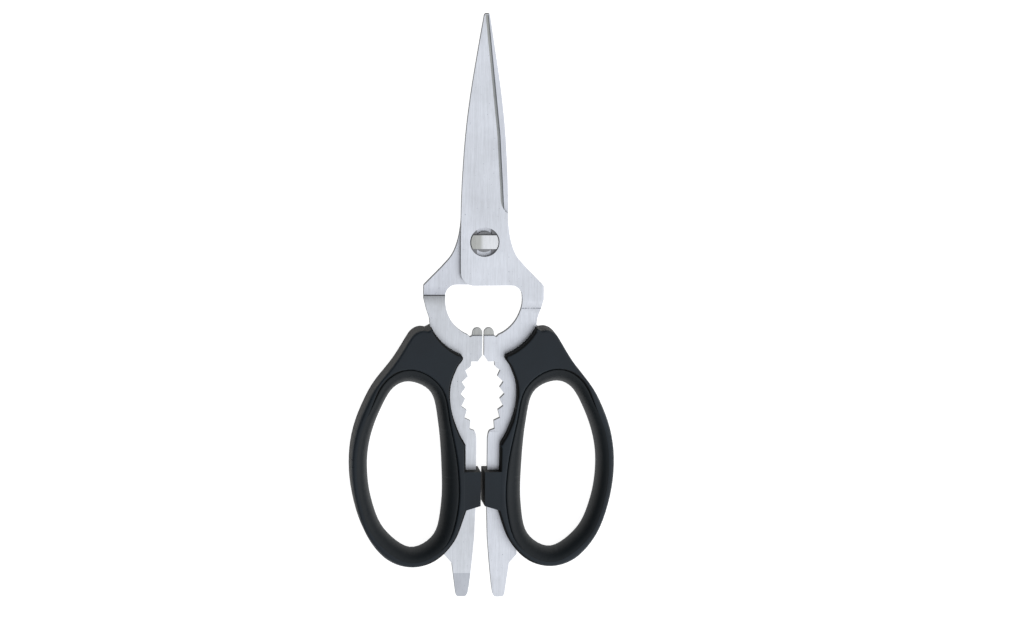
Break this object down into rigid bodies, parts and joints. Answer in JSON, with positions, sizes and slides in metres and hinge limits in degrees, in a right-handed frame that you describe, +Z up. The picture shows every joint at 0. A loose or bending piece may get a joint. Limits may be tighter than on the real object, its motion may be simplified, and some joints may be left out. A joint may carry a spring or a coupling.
{
  "type": "poultry shears",
  "caption": "Take-apart kitchen and poultry shears with moulded finger rings, toothed nut and bottle jaw, bottle opener, cap lifters and driver tips.",
  "frame": {"origin": "centre of the bounding box's bottom face, shears lying flat on the backs of their handles", "axes": "+Y from the finger rings towards the blade tips, +Z up through the thickness towards the front blade, +X towards the front half's handle"},
  "size_m": [0.0944, 0.2098, 0.0127],
  "materials": {
    "rear_blade_steel": "satin, brushed along the blade",
    "front_blade_steel": "satin, brushed along the blade",
    "stud_steel": "turned and satin",
    "handle_plastic": "fine spark-eroded grain, blue-black",
    "ring_soft_grip": "soft matte grip, blue-black"
  },
  "bodies": {
    "rear_half": {"rear_blade": "rear_blade_steel", "pivot_stud": "stud_steel", "rear_handle": "handle_plastic", "rear_finger_ring": "ring_soft_grip"},
    "front_half": {"front_blade": "front_blade_steel", "front_handle": "handle_plastic", "front_finger_ring": "ring_soft_grip"}
  },
  "joints": [
    {"name": "blade_pivot", "type": "hinge", "parent": "rear_half", "child": "front_half", "pos_m": [0, 0.0237, 0.00635], "axis": [0, 0, 1], "range_deg": [-0.86, 114]}
  ]
}
